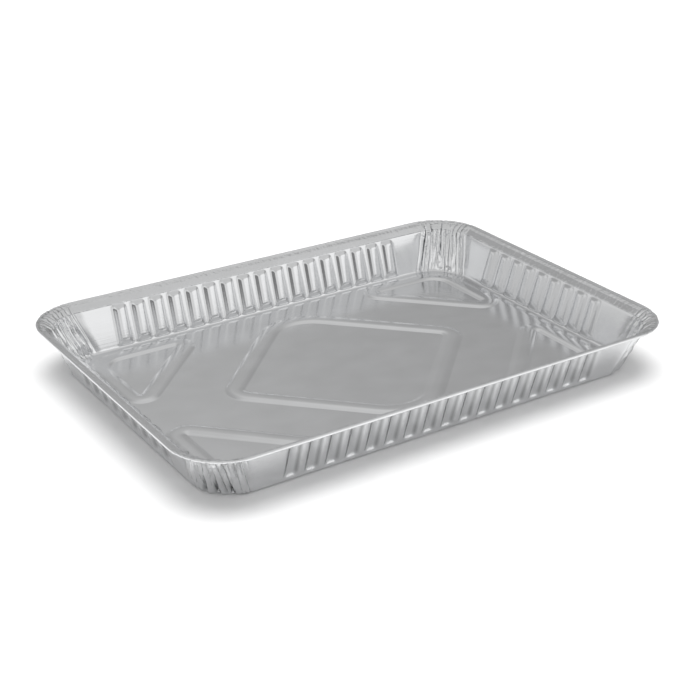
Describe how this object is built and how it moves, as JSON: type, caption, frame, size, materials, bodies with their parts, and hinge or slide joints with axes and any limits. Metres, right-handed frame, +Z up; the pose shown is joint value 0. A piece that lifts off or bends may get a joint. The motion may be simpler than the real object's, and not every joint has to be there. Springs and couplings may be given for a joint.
{
  "type": "aluminium foil tray",
  "caption": "Shallow rectangular baking tray pressed from one aluminium foil sheet: ribbed walls, gathered corners, flared rolled rim and a ridged floor.",
  "frame": {"origin": "centre of the underside, on the plane of the foot", "axes": "+X along the long side, +Y across, +Z up out of the open top"},
  "size_m": [0.32, 0.226, 0.031],
  "materials": {
    "foil": "bright rolled foil"
  },
  "bodies": {
    "root": {"tray": "foil"}
  },
  "joints": []
}
